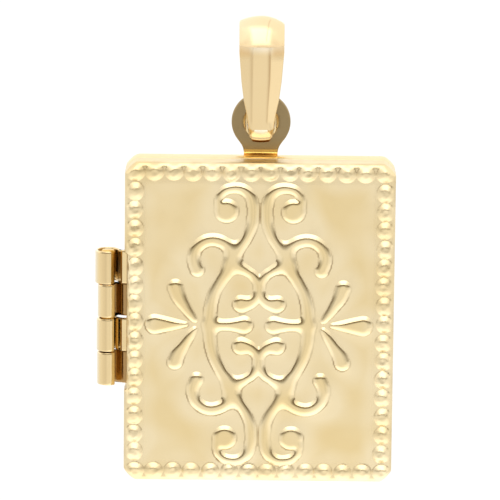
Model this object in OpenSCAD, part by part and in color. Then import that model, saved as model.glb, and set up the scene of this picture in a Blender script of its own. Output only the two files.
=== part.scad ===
// Book-shaped photo locket: two shallow trays on a side hinge, a round lug on the rear tray,
// and a folded strap bail that hangs on a chain.
// The face looks along -Y, Z is up, and the origin is where the chain bears inside the bail.

/* [Covers] */
// Width of each cover
cover_w = 18; // [14:0.5:26]
// Height of each cover
cover_h = 21.8; // [18:0.1:30]
// Depth of one cover, from its face to the seam
shell_d = 1.6; // [1.1:0.05:2.4]
// Thickness of the pressed face sheet
sheet_t = 0.4; // [0.3:0.05:0.6]
// Thickness of the rim walls
wall_t = 0.5; // [0.4:0.05:0.8]
// Radius of the covers' corners
corner_r = 0.8; // [0.4:0.1:1.5]
// Gap between the two closed rims
seam_gap = 0.06; // [0.04:0.01:0.15]

/* [Photo seat] */
// Width of the ledge that a photo's edge lies on
ledge_w = 0.7; // [0.4:0.1:1.2]
// Height of that ledge above the cover's floor
ledge_h = 0.3; // [0.2:0.05:0.4]

/* [Hinge] */
// Length of the whole barrel
hinge_len = 9.3; // [8:0.1:12]
// Radius of the knuckles
knuckle_r = 0.85; // [0.75:0.05:1]
// Radius of the hinge pin
pin_r = 0.45; // [0.35:0.05:0.5]
// Running clearance round the pin
pin_gap = 0.03; // [0.02:0.01:0.06]
// Gap between one knuckle and the next
knuckle_gap = 0.08; // [0.05:0.01:0.15]
// Distance from the covers' side to the pin's axis
hinge_out = 1.15; // [1.05:0.05:1.4]
// Thickness of the leaves that carry the knuckles
leaf_t = 0.35; // [0.25:0.05:0.45]

/* [Lug] */
// Radius of the lug's round head
lug_r = 1.97; // [1.8:0.01:2.3]
// Radius of the hole that the bail passes through
eye_r = 1.12; // [1.1:0.01:1.3]
// Thickness of the lug's sheet
lug_t = 0.3; // [0.25:0.05:0.4]
// Width of the lug's neck
neck_w = 2.25; // [2:0.05:2.8]
// Height of the eye's centre above the covers
eye_up = 2.25; // [2.2:0.01:3]
// Thickness of the foot that is soldered on the rim
foot_t = 0.2; // [0.15:0.05:0.3]

/* [Bail] */
// Radius of the bail's outer bend at the top
top_r = 1.9; // [1.7:0.05:2.2]
// Radius of the bail's outer bend at the bottom
low_r = 0.85; // [0.8:0.05:1]
// Height of the bail
bail_h = 8.15; // [7.5:0.05:9.5]
// Thickness of the strap
strap_t = 0.25; // [0.2:0.01:0.3]
// How far the strap's edges fall back from its flat middle
strap_drop = 0.12; // [0.08:0.01:0.15]
// Share of the strap's width that is flat
flat_share = 0.45; // [0.3:0.05:0.6]

/* [Ornament] */
// Height of the scrollwork above the face
scroll_h = 0.2; // [0.1:0.05:0.3]
// Height of its lower, wider step
scroll_step_h = 0.1; // [0.05:0.01:0.2]
// How far the upper step lies inside the lower one
scroll_bevel = 0.13; // [0.05:0.01:0.2]
// Height of the border beads above the face
bead_h = 0.28; // [0.15:0.01:0.35]
// Radius of a bead on the face
bead_r = 0.58; // [0.4:0.01:0.6]
// Distance from the cover's edge to the middle of the beads
bead_in = 0.7; // [0.62:0.01:0.9]
// Beads across the cover, both corners included
beads_across = 14; // [10:1:18]
// Beads down the cover, both corners included
beads_down = 17; // [12:1:22]

/* [Hidden] */
$fn = 48;

top_z = strap_t - top_r;
low_z = strap_t - bail_h + low_r;
eye_low = 1.0;
eye_z = strap_t - bail_h + eye_low;
covers_top = eye_z - eye_up;
covers_mid = covers_top - cover_h / 2;
rear_y = lug_t / 2;
back_seam_y = rear_y - shell_d;
front_seam_y = back_seam_y - seam_gap;
face_y = front_seam_y - shell_d;
hinge_x = -cover_w / 2 - hinge_out;
hinge_y = (back_seam_y + front_seam_y) / 2;
knuckles = 4;
knuckle_pitch = hinge_len / knuckles;
sunk = 0.1;
gold = "#e8cf96";
deep_gold = "#c49a3c";

// The scrollwork's bands for one quarter of the face, mirrored to the other three.
// Each row is [across from the middle, up from the middle, width of the band].
scroll_mid_down = 0.1;
volute = [
    [-2.23, 7.78, 1.68], [-2.40, 7.95, 1.30], [-2.62, 8.20, 0.88], [-2.74, 8.50, 0.66],
    [-2.62, 8.88, 0.66], [-2.24, 9.22, 0.74], [-1.66, 9.34, 0.78], [-1.15, 9.24, 0.80],
    [-0.70, 8.86, 0.84], [-0.49, 8.25, 0.84], [-0.46, 7.55, 0.84],
    [-0.52, 6.85, 0.84], [-0.81, 6.08, 0.80], [-1.26, 5.38, 0.84], [-1.70, 4.82, 0.98]
];
oval = [
    [-1.70, 4.82, 0.98], [-1.93, 4.26, 1.10], [-2.19, 3.63, 1.00], [-2.58, 3.00, 0.90],
    [-2.97, 2.23, 0.88], [-3.20, 1.39, 0.90], [-3.28, 0.62, 0.92], [-3.30, 0.00, 0.96]
];
hook = [
    [-1.80, 4.90, 1.00], [-2.14, 5.38, 0.95], [-2.62, 5.70, 0.92], [-3.17, 5.80, 0.92],
    [-3.71, 5.66, 0.90], [-4.19, 5.24, 0.86], [-4.43, 4.61, 0.80], [-4.40, 4.05, 0.76],
    [-4.23, 3.70, 0.74]
];
collar = [
    [-1.78, 4.28, 1.00], [-1.24, 3.92, 0.85], [-0.83, 3.69, 0.74], [-0.42, 3.40, 0.74],
    [-0.09, 2.88, 0.80], [0.00, 2.16, 0.80]
];
curl = [
    [-0.02, 2.30, 0.80], [-0.22, 1.88, 0.80], [-0.58, 1.53, 0.86], [-0.98, 1.40, 1.00],
    [-1.30, 1.38, 1.10]
];
bar = [
    [-3.30, 0.00, 0.86], [-2.90, 0.00, 0.84], [-2.10, 0.00, 0.84], [-1.50, 0.00, 1.00],
    [-0.96, 0.00, 1.22]
];
side_petal = [
    [-7.08, 0.04, 1.06], [-6.17, 0.04, 0.84], [-5.46, 0.04, 0.50], [-4.82, 0.02, 0.22]
];
slant_petal = [
    [-5.66, 2.62, 0.78], [-5.42, 1.62, 0.74], [-4.92, 0.80, 0.50], [-4.30, 0.28, 0.20]
];
bands = [volute, oval, hook, collar, curl, bar, side_petal, slant_petal];
band_steps = 3;
crevice = 0.06;

// The strap's width down the bail. Each row is [distance below the top, width].
strap_widths = [
    [0, 3.05], [2.3, 3.00], [4.3, 2.67], [5.6, 2.37], [6.5, 2.07], [7.1, 1.85], [7.6, 1.55], [8.15, 1.25]
];
bend_steps = 14;
low_bend_steps = 9;
side_steps = 6;

// A smooth curve through rows of numbers, evaluated at share t between rows b and c.
function between(a, b, c, d, t) =
    0.5 * (2 * b + (c - a) * t + (2 * a - 5 * b + 4 * c - d) * t * t + (3 * b - 3 * c + d - a) * t * t * t);

function smooth_rows(rows, steps) =
    let (last = len(rows) - 1)
    [
        for (i = [0:last - 1], k = [0:steps - 1])
            between(rows[max(i - 1, 0)], rows[i], rows[i + 1], rows[min(i + 2, last)], k / steps),
        rows[last]
    ];

function direction(rows, i) =
    let (
        a = rows[max(i - 1, 0)],
        b = rows[min(i + 1, len(rows) - 1)],
        d = [b[0] - a[0], b[1] - a[1]]
    )
    d / norm(d);

// The point on the edge of a band at row i: side is 1 for its left edge and -1 for its right.
function band_edge(rows, i, side) =
    let (d = direction(rows, i))
    [rows[i][0], rows[i][1]] + side * rows[i][2] / 2 * [-d[1], d[0]];

module band(rows) {
    path = smooth_rows(rows, band_steps);
    last = len(path) - 1;
    for (i = [0:last - 1])
        polygon([
            band_edge(path, i, 1), band_edge(path, i + 1, 1),
            band_edge(path, i + 1, -1), band_edge(path, i, -1)
        ]);
    for (end = [path[0], path[last]])
        translate([end[0], end[1]]) circle(d = end[2], $fn = 16);
}

module scroll_outline(inset) {
    offset(delta = -inset - crevice) offset(delta = crevice)
        translate([0, -scroll_mid_down])
            for (sx = [0, 1], sz = [0, 1], rows = bands)
                mirror([sx, 0]) mirror([0, sz]) band(rows);
}

// Turns a flat shape of the X and Z directions to face the viewer, with its back at depth y.
module facing(y, depth) {
    translate([0, y, covers_mid]) rotate([90, 0, 0]) linear_extrude(depth) children();
}

module rounded_rect(w, h, r) {
    square([w - 2 * r, h], center = true);
    square([w, h - 2 * r], center = true);
    for (sx = [-1, 1], sz = [-1, 1])
        translate([sx * (w / 2 - r), sz * (h / 2 - r)]) circle(r);
}

// One tray with its open side at y_open. way is 1 where the tray opens towards +Y.
module tray(y_open, way) {
    inner_w = cover_w - 2 * wall_t;
    inner_h = cover_h - 2 * wall_t;
    inner_r = corner_r - wall_t;
    photo_d = shell_d - sheet_t;
    frame_d = photo_d - ledge_h;
    difference() {
        facing(max(y_open, y_open - way * shell_d), shell_d)
            rounded_rect(cover_w, cover_h, corner_r);
        facing(y_open + (way > 0 ? sunk : frame_d), frame_d + sunk)
            rounded_rect(inner_w, inner_h, inner_r);
        facing(y_open + (way > 0 ? 0 : photo_d), photo_d)
            rounded_rect(inner_w - 2 * ledge_w, inner_h - 2 * ledge_w, inner_r);
    }
}

module bead(across, up) {
    ball_r = (bead_r * bead_r + bead_h * bead_h) / (2 * bead_h);
    translate([across, face_y, covers_mid + up]) intersection() {
        translate([0, ball_r - bead_h, 0]) sphere(ball_r);
        translate([-bead_r - sunk, -bead_h - sunk, -bead_r - sunk])
            cube([2 * (bead_r + sunk), bead_h + 2 * sunk, 2 * (bead_r + sunk)]);
    }
}

module bead_border() {
    half_w = cover_w / 2 - bead_in;
    half_h = cover_h / 2 - bead_in;
    for (i = [0:beads_across - 1], side = [-1, 1])
        bead(-half_w + 2 * half_w * i / (beads_across - 1), side * half_h);
    for (i = [1:beads_down - 2], side = [-1, 1])
        bead(side * half_w, -half_h + 2 * half_h * i / (beads_down - 1));
}

module scrollwork() {
    facing(face_y + sunk, scroll_step_h + sunk) scroll_outline(0);
    facing(face_y + sunk, scroll_h + sunk) scroll_outline(scroll_bevel);
}

// Knuckle number i, counted from the top, with the leaf that joins it to a rim.
// leaf_y is the leaf's near side.
module knuckle(i, leaf_y) {
    low = covers_mid + hinge_len / 2 - (i + 1) * knuckle_pitch + knuckle_gap / 2;
    high = knuckle_pitch - knuckle_gap;
    translate([hinge_x, hinge_y, low]) cylinder(r = knuckle_r, h = high);
    translate([hinge_x, leaf_y, low]) cube([hinge_out + wall_t / 2, leaf_t, high]);
}

module pin_bore() {
    translate([hinge_x, hinge_y, covers_mid - hinge_len / 2 - sunk])
        cylinder(r = pin_r + pin_gap, h = hinge_len + 2 * sunk);
}

module lug() {
    foot_d = shell_d - sunk;
    translate([0, rear_y, eye_z]) rotate([90, 0, 0]) linear_extrude(lug_t) {
        circle(lug_r);
        translate([-neck_w / 2, -eye_up - sunk]) square([neck_w, eye_up]);
    }
    translate([-neck_w / 2, rear_y - foot_d, covers_top - sunk])
        cube([neck_w, foot_d, foot_t + sunk]);
}

module lug_eye() {
    translate([0, rear_y + sunk, eye_z]) rotate([90, 0, 0]) cylinder(r = eye_r, h = lug_t + 2 * sunk);
}

module front_cover() {
    color(gold) difference() {
        union() {
            tray(front_seam_y, 1);
            for (i = [0, 2]) knuckle(i, front_seam_y - leaf_t);
        }
        pin_bore();
    }
    color(gold) bead_border();
    color(gold) scrollwork();
}

module back_cover() {
    color(gold) difference() {
        union() {
            tray(back_seam_y, -1);
            for (i = [1, 3]) knuckle(i, back_seam_y);
            lug();
        }
        pin_bore();
        lug_eye();
    }
}

module hinge_pin() {
    color(deep_gold) translate([hinge_x, hinge_y, covers_mid - hinge_len / 2])
        cylinder(r = pin_r, h = hinge_len);
}

function strap_width(z) = lookup(strap_t - z, strap_widths);

// The outer middle line of the bail, as rows of [depth, height, outward angle].
bail_lean = asin((top_r - low_r) / (top_z - low_z));
function on_bend(z, r, a) = [r * cos(a), z + r * sin(a), a];
function side_rows(from, to) =
    [for (k = [1:side_steps - 1]) from + (to - from) * k / side_steps];
bail_rows = let (
        start = -bail_lean,
        half = 180 + bail_lean,
        turn = 180 + 2 * bail_lean,
        low_turn = 180 - 2 * bail_lean,
        over = [for (k = [0:bend_steps]) on_bend(top_z, top_r, start + turn * k / bend_steps)],
        under = [for (k = [0:low_bend_steps]) on_bend(low_z, low_r, half + low_turn * k / low_bend_steps)],
        first = over[0],
        home = under[low_bend_steps]
    )
    concat(over, side_rows(over[bend_steps], under[0]), under,
        side_rows(home, [first[0], first[1], home[2]]));

// One ring of the strap: the outer side from edge to edge, and back along the inner side.
function strap_ring(row) =
    let (
        half = strap_width(row[1]) / 2,
        flat = half * flat_share,
        section = [
            [-half, strap_drop], [-flat, 0], [flat, 0], [half, strap_drop],
            [half, strap_drop + strap_t], [flat, strap_t], [-flat, strap_t], [-half, strap_drop + strap_t]
        ]
    )
    [for (p = section) [p[0], row[0] - p[1] * cos(row[2]), row[1] - p[1] * sin(row[2])]];

module bail() {
    rings = [for (row = bail_rows) strap_ring(row)];
    n = len(rings);
    sides = len(rings[0]);
    points = [for (ring = rings, p = ring) p];
    faces = [
        for (i = [0:n - 1], k = [0:sides - 1])
            let (j = (i + 1) % n, m = (k + 1) % sides)
            each [
                [i * sides + k, i * sides + m, j * sides + m],
                [i * sides + k, j * sides + m, j * sides + k]
            ]
    ];
    color(gold) polyhedron(points, faces);
}

bail();
back_cover();
front_cover();
hinge_pin();
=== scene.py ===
"""Looks of the photo locket: polished yellow-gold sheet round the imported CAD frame.

The script works in millimetres and turns them to metres where a mesh is made. The face looks along
-Y, Z is up, and X points right seen from the face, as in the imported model.
"""

import math

import bmesh
import bpy
import numpy as np
from mathutils import Matrix, Vector, noise


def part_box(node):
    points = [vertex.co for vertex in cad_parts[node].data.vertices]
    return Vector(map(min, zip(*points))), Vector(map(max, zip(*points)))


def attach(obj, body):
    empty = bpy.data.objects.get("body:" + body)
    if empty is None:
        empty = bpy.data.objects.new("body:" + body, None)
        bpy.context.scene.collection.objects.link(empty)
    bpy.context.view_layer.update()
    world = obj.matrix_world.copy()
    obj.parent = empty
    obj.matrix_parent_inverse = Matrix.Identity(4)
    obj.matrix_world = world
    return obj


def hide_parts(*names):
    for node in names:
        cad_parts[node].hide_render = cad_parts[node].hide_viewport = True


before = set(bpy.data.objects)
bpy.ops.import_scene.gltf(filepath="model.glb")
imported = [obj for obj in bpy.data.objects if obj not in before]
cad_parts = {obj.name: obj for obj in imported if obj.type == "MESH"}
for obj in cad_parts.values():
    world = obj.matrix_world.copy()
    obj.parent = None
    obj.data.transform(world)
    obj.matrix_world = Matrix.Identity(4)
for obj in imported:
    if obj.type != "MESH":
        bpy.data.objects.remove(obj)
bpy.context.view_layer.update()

MM = 0.001


# Sizes in mm, read from the frame or named as in the part's source.

def node_box(name):
    """Lowest and highest corner of a CAD node in mm."""
    low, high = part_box(name)
    return np.array(low) / MM, np.array(high) / MM


front_low, front_high = node_box("front_cover")
back_high = node_box("back_cover")[1]
bail_high = node_box("bail")[1]
pin_low, pin_high = node_box("hinge_pin")

SHELL_D = 1.6
SHEET_T = 0.4
WALL_T = 0.5
CORNER_R = 0.8
SEAM_GAP = 0.06
LEDGE_W = 0.7
LEDGE_H = 0.3
BEAD_H = 0.28
BEAD_IN = 0.7
BEADS_ACROSS = 14
BEADS_DOWN = 17
KNUCKLES = 4
KNUCKLE_GAP = 0.08
LEAF_T = 0.35
LUG_R = 1.97
EYE_R = 1.12
LUG_T = 0.3
NECK_W = 2.25
STRAP_T = 0.25

HALF_W = float(front_high[0])
TOP_Z = float(front_high[2])
HALF_H = float(front_high[2] - front_low[2]) / 2
MID_Z = TOP_Z - HALF_H
HINGE_X = float(pin_low[0] + pin_high[0]) / 2
HINGE_Y = float(pin_low[1] + pin_high[1]) / 2
BARREL_LOW = float(pin_low[2])
BARREL_LEN = float(pin_high[2] - pin_low[2])
FRONT_SEAM_Y = HINGE_Y - SEAM_GAP / 2
BACK_SEAM_Y = HINGE_Y + SEAM_GAP / 2
FACE_Y = FRONT_SEAM_Y - SHELL_D
REAR_Y = BACK_SEAM_Y + SHELL_D
EYE_Z = float(back_high[2]) - LUG_R

# The scrollwork's bands for one quarter of the face: [across, up, width] from its middle.

SCROLL_DOWN = 0.1  # how far the scrollwork's middle lies below the cover's
VOLUTE = [
    [-2.23, 7.78, 1.68], [-2.40, 7.95, 1.30], [-2.62, 8.20, 0.88], [-2.74, 8.50, 0.66],
    [-2.62, 8.88, 0.66], [-2.24, 9.22, 0.74], [-1.66, 9.34, 0.78],
    [-1.15, 9.24, 0.80], [-0.70, 8.86, 0.84], [-0.49, 8.25, 0.84], [-0.46, 7.55, 0.84],
    [-0.52, 6.85, 0.84], [-0.81, 6.08, 0.80], [-1.26, 5.38, 0.84], [-1.70, 4.82, 0.98],
]
OVAL = [
    [-1.70, 4.82, 0.98], [-1.93, 4.26, 1.10], [-2.19, 3.63, 1.00], [-2.58, 3.00, 0.90],
    [-2.97, 2.23, 0.88], [-3.20, 1.39, 0.90], [-3.28, 0.62, 0.92], [-3.30, 0.00, 0.96],
]
HOOK = [
    [-1.84, 4.96, 0.56], [-2.16, 5.42, 0.84], [-2.62, 5.70, 0.92], [-3.17, 5.80, 0.92],
    [-3.71, 5.66, 0.90], [-4.17, 5.26, 0.88], [-4.38, 4.70, 0.90], [-4.33, 4.22, 0.96],
    [-4.14, 3.76, 1.02],
]
COLLAR = [
    [-1.82, 4.28, 0.56], [-1.24, 3.92, 0.82], [-0.83, 3.69, 0.74], [-0.42, 3.40, 0.74],
    [-0.09, 2.88, 0.80], [0.00, 2.16, 0.80],
]
CURL = [
    [-0.02, 2.30, 0.80], [-0.22, 1.88, 0.80], [-0.56, 1.58, 0.92], [-0.93, 1.47, 1.10],
    [-1.20, 1.45, 1.22],
]
BAR = [
    [-3.30, 0.00, 0.86], [-2.90, 0.00, 0.84], [-2.10, 0.00, 0.84], [-1.50, 0.00, 1.00],
    [-0.96, 0.00, 1.22],
]
SIDE_PETAL = [
    [-6.96, 0.03, 1.34], [-6.35, 0.04, 1.06], [-5.61, 0.04, 0.70], [-4.87, 0.03, 0.34],
]
SLANT_PETAL = [
    [-5.60, 2.56, 1.12], [-5.36, 1.92, 1.04], [-4.98, 1.31, 0.86], [-4.58, 0.71, 0.70],
    [-4.30, 0.33, 0.46],
]
# Strokes drawn together, and how softly they run into the ones before them.
STROKES = [
    ([VOLUTE, OVAL], 0.0), ([HOOK], 0.7), ([COLLAR, CURL], 0.6), ([BAR], 0.45), ([SIDE_PETAL], 0.0),
    ([SLANT_PETAL], 0.0),
]

# The face's relief. Sizes are in mm, painted shades and satin are shares, and satin is times SATIN_ROUGH.

BAND_H = 0.17
BAND_ROUND = 0.42  # width of a band's sloping side
SHEET_PULL = 0.03  # how high the sheet is drawn up at a band's foot
PULL_W = 0.5  # how far out it is drawn up
# Painted shade, in brown, along the bands' feet, the beads' feet and the cover's edge.
FOOT_SHADE = 0.85
BEAD_SHADE = 0.6
EDGE_SHADE = 0.22
BEAD_SATIN = 0.85
RIM_SATIN = 1.0
BORDER_W = 1.2
EDGE_R = 0.3
HOLLOW = 0.15  # how deep the covers' side is pressed in beside the hinge
CORNER_POWER = 1.3  # 2 would make the corners round, 1 makes them straight chamfers
ROLL_STEPS = 7
WAVE_H = 0.012  # gentle waves of the whole sheet
WAVE_LEN = 5.0
BEAD_ALONG = 0.63  # a bead's half sizes: along the border, towards the middle and the edge
BEAD_INWARD = 0.55
BEAD_OUTWARD = 0.62
BEAD_SLOPE = 0.56  # share of the half size over which a bead rises
BEAD_BEND = 0.25  # how softly the slope bends into the crown
BEAD_DENTS = 0.22
BEAD_GRAIN = 0.014
BEAD_SEED = 4
BEAD_SHIFT = 0.04
BEAD_LENGTHS = (0.94, 1.03)
BEAD_HEIGHTS = (0.82, 0.96)
# Size in mm and seed of uneven patches: the beads' dents and grain, the sheet's tone and spots.
DENTS, GRAIN, TONE, SPOTS = (0.55, 5.3), (0.26, 9.1), (2.3, 3.1), (1 / 1.1, 7.7)


# Materials.

class Nodes:
    """Short calls for building a node tree."""

    def __init__(self, tree):
        self.tree = tree

    def new(self, kind, **settings):
        node = self.tree.nodes.new(kind)
        for name, value in settings.items():
            setattr(node, name, value)
        return node

    def link(self, source, target):
        self.tree.links.new(source, target)

    def attribute(self, name):
        return self.new("ShaderNodeAttribute", attribute_name=name).outputs["Fac"]

    def math(self, operation, a, b=None):
        node = self.new("ShaderNodeMath", operation=operation)
        for socket, value in zip(node.inputs, (a, b)):
            if value is None:
                continue
            if isinstance(value, (int, float)):
                socket.default_value = value
            else:
                self.link(value, socket)
        return node.outputs[0]

    def ramp(self, value, start, end, low=0.0, high=1.0):
        """A smooth step from low to high as value goes from start to end."""
        node = self.new("ShaderNodeMapRange", interpolation_type="SMOOTHSTEP", clamp=True)
        self.link(value, node.inputs["Value"])
        node.inputs["From Min"].default_value = start
        node.inputs["From Max"].default_value = end
        node.inputs["To Min"].default_value = low
        node.inputs["To Max"].default_value = high
        return node.outputs[0]

    def noise(self, vector, scale, detail, rough=0.5):
        node = self.new("ShaderNodeTexNoise")
        node.inputs["Scale"].default_value = scale
        node.inputs["Detail"].default_value = detail
        node.inputs["Roughness"].default_value = rough
        self.link(vector, node.inputs["Vector"])
        return node.outputs[0]

    def mix(self, factor, a, b):
        node = self.new("ShaderNodeMix", data_type="RGBA", clamp_factor=True)
        self.link(factor, node.inputs[0])
        for socket, value in ((node.inputs[6], a), (node.inputs[7], b)):
            if isinstance(value, tuple):
                socket.default_value = (*value, 1.0)
            else:
                self.link(value, socket)
        return node.outputs[2]


GOLD = (0.80, 0.655, 0.385)
DEEP_GOLD = (0.72, 0.51, 0.20)
# Colours of the painted shade: grey-brown on the covers and the lug, red-brown on the hinge, pin, bail and
# foot.
GREY_BROWN = (0.25, 0.165, 0.07)
RED_BROWN = (0.25, 0.115, 0.02)
SATIN_ROUGH = 0.22
# Noise of the gold: scales in patches per metre and heights in metres, from broad to fine.
CLOUD_SCALE = 240.0
SMUDGE_SCALE = 700.0
PEEL_SCALE, PEEL_H = 900.0, 6e-6
GRAIN_SCALE, GRAIN_H = 9000.0, 4e-7
SCRATCH_SCALES = (400.0, 400.0, 9000.0)


def gold(name, colour, deep, rough, pale=None, shade=GREY_BROWN, cloud=0.16, rough_spread=0.05,
         scratch=0.0):
    """Gold sheet: colour where it is polished, deep in faint clouds, mixed towards a pale colour by a
    per-point share, and a painted brown shade in creases, edges and recesses.
    """
    material = bpy.data.materials.new(name)
    material.use_nodes = True
    n = Nodes(material.node_tree)
    shader = material.node_tree.nodes["Principled BSDF"]
    shader.inputs["Metallic"].default_value = 1.0
    where = n.new("ShaderNodeTexCoord").outputs["Object"]
    clouds = n.noise(where, CLOUD_SCALE, 3.0)
    tone = n.mix(n.ramp(clouds, 0.35, 0.75, 0.0, cloud), colour, deep)
    # Mix towards the pale colour by the pale share, then towards the brown by the painted shade share.
    if pale:
        tone = n.mix(n.attribute("pale"), tone, pale)
    n.link(n.mix(n.attribute("crease"), tone, shade), shader.inputs["Base Color"])
    smudge = n.noise(where, SMUDGE_SCALE, 4.0, 0.6)
    smudged = n.ramp(smudge, 0.3, 0.75, rough - rough_spread / 2, rough + rough_spread)
    satin = n.math("MULTIPLY", n.attribute("satin"), SATIN_ROUGH)
    n.link(n.math("ADD", smudged, satin), shader.inputs["Roughness"])
    height = n.math("ADD", n.math("MULTIPLY", n.noise(where, PEEL_SCALE, 1.0), PEEL_H),
                    n.math("MULTIPLY", n.noise(where, GRAIN_SCALE, 2.0), GRAIN_H))
    if scratch:
        stretch = n.new("ShaderNodeMapping")
        stretch.inputs["Scale"].default_value = SCRATCH_SCALES
        n.link(where, stretch.inputs["Vector"])
        lines = n.noise(stretch.outputs["Vector"], 1.0, 2.0)
        height = n.math("ADD", height, n.math("MULTIPLY", lines, scratch))
    bump = n.new("ShaderNodeBump")
    bump.inputs["Distance"].default_value = 1.0
    n.link(height, bump.inputs["Height"])
    n.link(bump.outputs["Normal"], shader.inputs["Normal"])
    return material


# The front's pale colour tints the sheet beside the forms; its grey-brown is the painted shade.
face_gold = gold("pressed_gold", colour=(0.765, 0.61, 0.335), deep=(0.72, 0.54, 0.25), rough=0.14,
                 pale=(0.815, 0.685, 0.44), cloud=0.3, rough_spread=0.07)
back_gold = gold("back_gold", colour=GOLD, deep=DEEP_GOLD, rough=0.15)
# The bail's pale colour is its painted highlight and its red-brown its painted shade.
bail_gold = gold("bail_gold", colour=(0.75, 0.585, 0.335), deep=DEEP_GOLD, rough=0.12,
                 pale=(0.90, 0.83, 0.68), shade=RED_BROWN)
# Deep orange gold: painted reflection of the lug's gold in the foot; its red-brown paints the dark pool.
foot_gold_painted_reflection = gold("foot_gold_painted_reflection", colour=(0.80, 0.50, 0.13), deep=(0.60, 0.34, 0.06), rough=0.3,
                 shade=RED_BROWN)
# The rolls' pale colour is their painted highlight and their red-brown their painted shade.
hinge_gold = gold("hinge_gold", colour=(0.80, 0.63, 0.35), deep=(0.60, 0.38, 0.10), rough=0.16,
                  pale=(0.87, 0.80, 0.64), shade=RED_BROWN)
pin_gold = gold("pin_gold", colour=(0.70, 0.47, 0.15), deep=(0.45, 0.27, 0.06), rough=0.22,
                shade=RED_BROWN)
# Dark olive gold: painted dark reflection on the lug's faces.
lug_gold_painted_dark = gold("lug_gold_painted_dark", colour=(0.325, 0.24, 0.122), deep=(0.29, 0.20, 0.085), rough=0.32,
                scratch=3e-7)


# Mesh helpers.

def sharpen(mesh, degrees, feet):
    """Marks as sharp the edges that turn by more than so many degrees and those along a foot."""
    edited = bmesh.new()
    edited.from_mesh(mesh)
    limit = math.radians(degrees)
    for edge in edited.edges:
        along_foot = edge.verts[0].index in feet and edge.verts[1].index in feet
        if along_foot or (edge.is_manifold and edge.calc_face_angle(0.0) > limit):
            edge.smooth = False
    edited.to_mesh(mesh)
    edited.free()


class Builder:
    """Collects the points in mm, faces and per-point shades of several shells for one piece: painted
    shade, a paler colour and satin.
    """

    def __init__(self):
        self.points, self.faces, self.feet = [], [], set()
        self.shades = {"crease": [], "pale": [], "satin": []}

    def add(self, points, faces, **shades):
        """Shades may be shorter than the points; the rest are 0."""
        first = len(self.points)
        self.points += [tuple(p) for p in points]
        self.faces += [[first + i for i in face] for face in faces]
        for name, values in self.shades.items():
            values += list(shades.get(name, ()))
            values += [0.0] * (len(self.points) - len(values))

    def rings(self, rings, closed=False, **shades):
        """Joins rings of equally many points, round to the first if closed and else capped."""
        count, size = len(rings), len(rings[0])
        faces = []
        for i in range(count if closed else count - 1):
            a, b = i * size, (i + 1) % count * size
            faces += [[a + k, a + (k + 1) % size, b + (k + 1) % size, b + k] for k in range(size)]
        if not closed:
            faces += [list(range(size))[::-1], list(range((count - 1) * size, count * size))]
        self.add([p for ring in rings for p in ring], faces, **shades)

    def make(self, name, material, body, slot, stands_for, sharp, second=None, second_faces=()):
        """The piece on its CAD body, shaded smooth apart from edges of more than sharp degrees.

        second is the material of second_faces.
        """
        mesh = bpy.data.meshes.new(name)
        mesh.from_pydata((np.asarray(self.points, float) * MM).tolist(), [], self.faces)
        for shade, values in self.shades.items():
            mesh.attributes.new(shade, "FLOAT", "POINT").data.foreach_set(
                "value", np.asarray(values, np.float32))
        edited = bmesh.new()
        edited.from_mesh(mesh)
        bmesh.ops.recalc_face_normals(edited, faces=edited.faces)
        for face in edited.faces:
            face.smooth = True
        edited.to_mesh(mesh)
        edited.free()
        sharpen(mesh, sharp, self.feet)
        mesh.materials.append(material)
        if second:
            mesh.materials.append(second)
            for index in second_faces:
                mesh.polygons[index].material_index = 1
        made = bpy.data.objects.new(name, mesh)
        bpy.context.scene.collection.objects.link(made)
        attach(made, body)
        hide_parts(*stands_for)


def smooth_rows(rows, steps):
    """A smooth curve through rows of numbers, with so many steps between two rows."""
    rows = np.asarray(rows, float)
    padded = np.vstack([rows[:1], rows, rows[-1:]])
    t = (np.arange(steps) / steps)[:, None]
    spans = []
    for a, b, c, d in zip(padded, padded[1:], padded[2:], padded[3:]):
        spans.append(0.5 * (2 * b + (c - a) * t + (2 * a - 5 * b + 4 * c - d) * t ** 2
                            + (3 * b - 3 * c + d - a) * t ** 3))
    return np.vstack(spans + [rows[-1:]])


def smoothstep(value, start, end):
    """A smooth share that goes from 0 at start to 1 at end, whichever is larger."""
    t = np.clip((value - start) / (end - start), 0, 1)
    return t * t * (3 - 2 * t)


def bell(off, width):
    """A share that is 1 at 0 and fades over a width to both sides."""
    return math.exp(-(off / width) ** 2)


# Relief of the face.

FAR_OUT = 1.8  # points farther out of a band aren't measured, in mm
PATH_STEPS = 12
POINTS_AT_ONCE = 20000


def band_depth(x, z, rows):
    """How far each point lies inside a band drawn in all four quarters; negative outside."""
    depth = np.full(x.shape, -FAR_OUT)
    path = smooth_rows(rows, PATH_STEPS)
    for side, way in ((1, 1), (1, -1), (-1, 1), (-1, -1)):
        px, pz, pr = path[:, 0] * side, path[:, 1] * way, path[:, 2] / 2
        near = np.nonzero((x > px.min() - FAR_OUT) & (x < px.max() + FAR_OUT)
                          & (z > pz.min() - FAR_OUT) & (z < pz.max() + FAR_OUT))[0]
        for part in np.array_split(near, max(1, len(near) // POINTS_AT_ONCE)):
            gap = np.hypot(x[part, None] - px, z[part, None] - pz)
            depth[part] = np.maximum(depth[part], (pr - gap).max(axis=1))
    return depth


def scroll_depth(x, z):
    """Depth inside the whole scrollwork, its strokes melted into each other where they meet."""
    depth = np.full(x.shape, -FAR_OUT)
    for bands, melt in STROKES:
        own = np.maximum.reduce([band_depth(x, z, rows) for rows in bands])
        touch = np.clip(1 - np.abs(depth - own) / melt, 0, 1) if melt else 0.0
        depth = np.maximum(depth, own) + melt / 4 * touch ** 2
    return depth


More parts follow.
